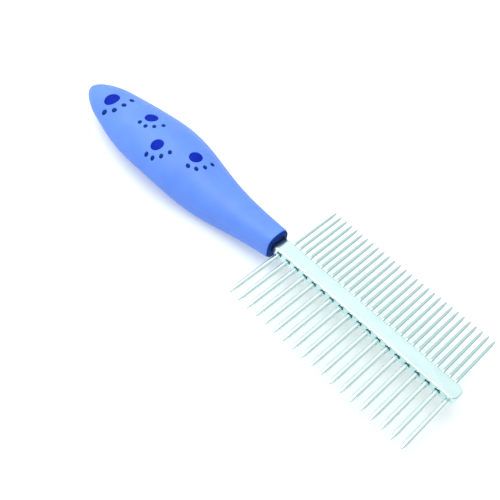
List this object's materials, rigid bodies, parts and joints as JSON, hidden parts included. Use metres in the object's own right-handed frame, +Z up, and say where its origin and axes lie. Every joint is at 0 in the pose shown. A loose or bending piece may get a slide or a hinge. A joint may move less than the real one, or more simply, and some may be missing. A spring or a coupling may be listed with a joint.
{
  "type": "double-sided dematting comb",
  "caption": "Double-sided grooming comb with coarse and fine round steel teeth in a flat rail, and a soft grip with paw-print windows over a hard core.",
  "frame": {"origin": "on the resting surface, under the middle of the overall length and on the rail's centre line", "axes": "+X from the handle to the far end of the rail, +Y towards the fine teeth, +Z up out of the comb's paw-print face"},
  "size_m": [0.201, 0.06, 0.0215],
  "materials": {
    "soft_grip": "satin soft-touch moulding, light blue",
    "hard_core": "hard moulding, dark blue",
    "rail_metal": "satin anodised",
    "tooth_steel": "bright plated steel"
  },
  "bodies": {
    "root": {"grip": "soft_grip", "handle_core": "hard_core", "rail": "rail_metal", "coarse_tooth_01": "tooth_steel", "coarse_tooth_02": "tooth_steel", "coarse_tooth_03": "tooth_steel", "coarse_tooth_04": "tooth_steel", "coarse_tooth_05": "tooth_steel", "coarse_tooth_06": "tooth_steel", "coarse_tooth_07": "tooth_steel", "coarse_tooth_08": "tooth_steel", "coarse_tooth_09": "tooth_steel", "coarse_tooth_10": "tooth_steel", "coarse_tooth_11": "tooth_steel", "coarse_tooth_12": "tooth_steel", "coarse_tooth_13": "tooth_steel", "coarse_tooth_14": "tooth_steel", "coarse_tooth_15": "tooth_steel", "coarse_tooth_16": "tooth_steel", "coarse_tooth_17": "tooth_steel", "coarse_tooth_18": "tooth_steel", "coarse_tooth_19": "tooth_steel", "fine_tooth_01": "tooth_steel", "fine_tooth_02": "tooth_steel", "fine_tooth_03": "tooth_steel", "fine_tooth_04": "tooth_steel", "fine_tooth_05": "tooth_steel", "fine_tooth_06": "tooth_steel", "fine_tooth_07": "tooth_steel", "fine_tooth_08": "tooth_steel", "fine_tooth_09": "tooth_steel", "fine_tooth_10": "tooth_steel", "fine_tooth_11": "tooth_steel", "fine_tooth_12": "tooth_steel", "fine_tooth_13": "tooth_steel", "fine_tooth_14": "tooth_steel", "fine_tooth_15": "tooth_steel", "fine_tooth_16": "tooth_steel", "fine_tooth_17": "tooth_steel", "fine_tooth_18": "tooth_steel", "fine_tooth_19": "tooth_steel", "fine_tooth_20": "tooth_steel", "fine_tooth_21": "tooth_steel", "fine_tooth_22": "tooth_steel", "fine_tooth_23": "tooth_steel", "fine_tooth_24": "tooth_steel", "fine_tooth_25": "tooth_steel", "fine_tooth_26": "tooth_steel", "fine_tooth_27": "tooth_steel", "fine_tooth_28": "tooth_steel", "fine_tooth_29": "tooth_steel"}
  },
  "joints": []
}
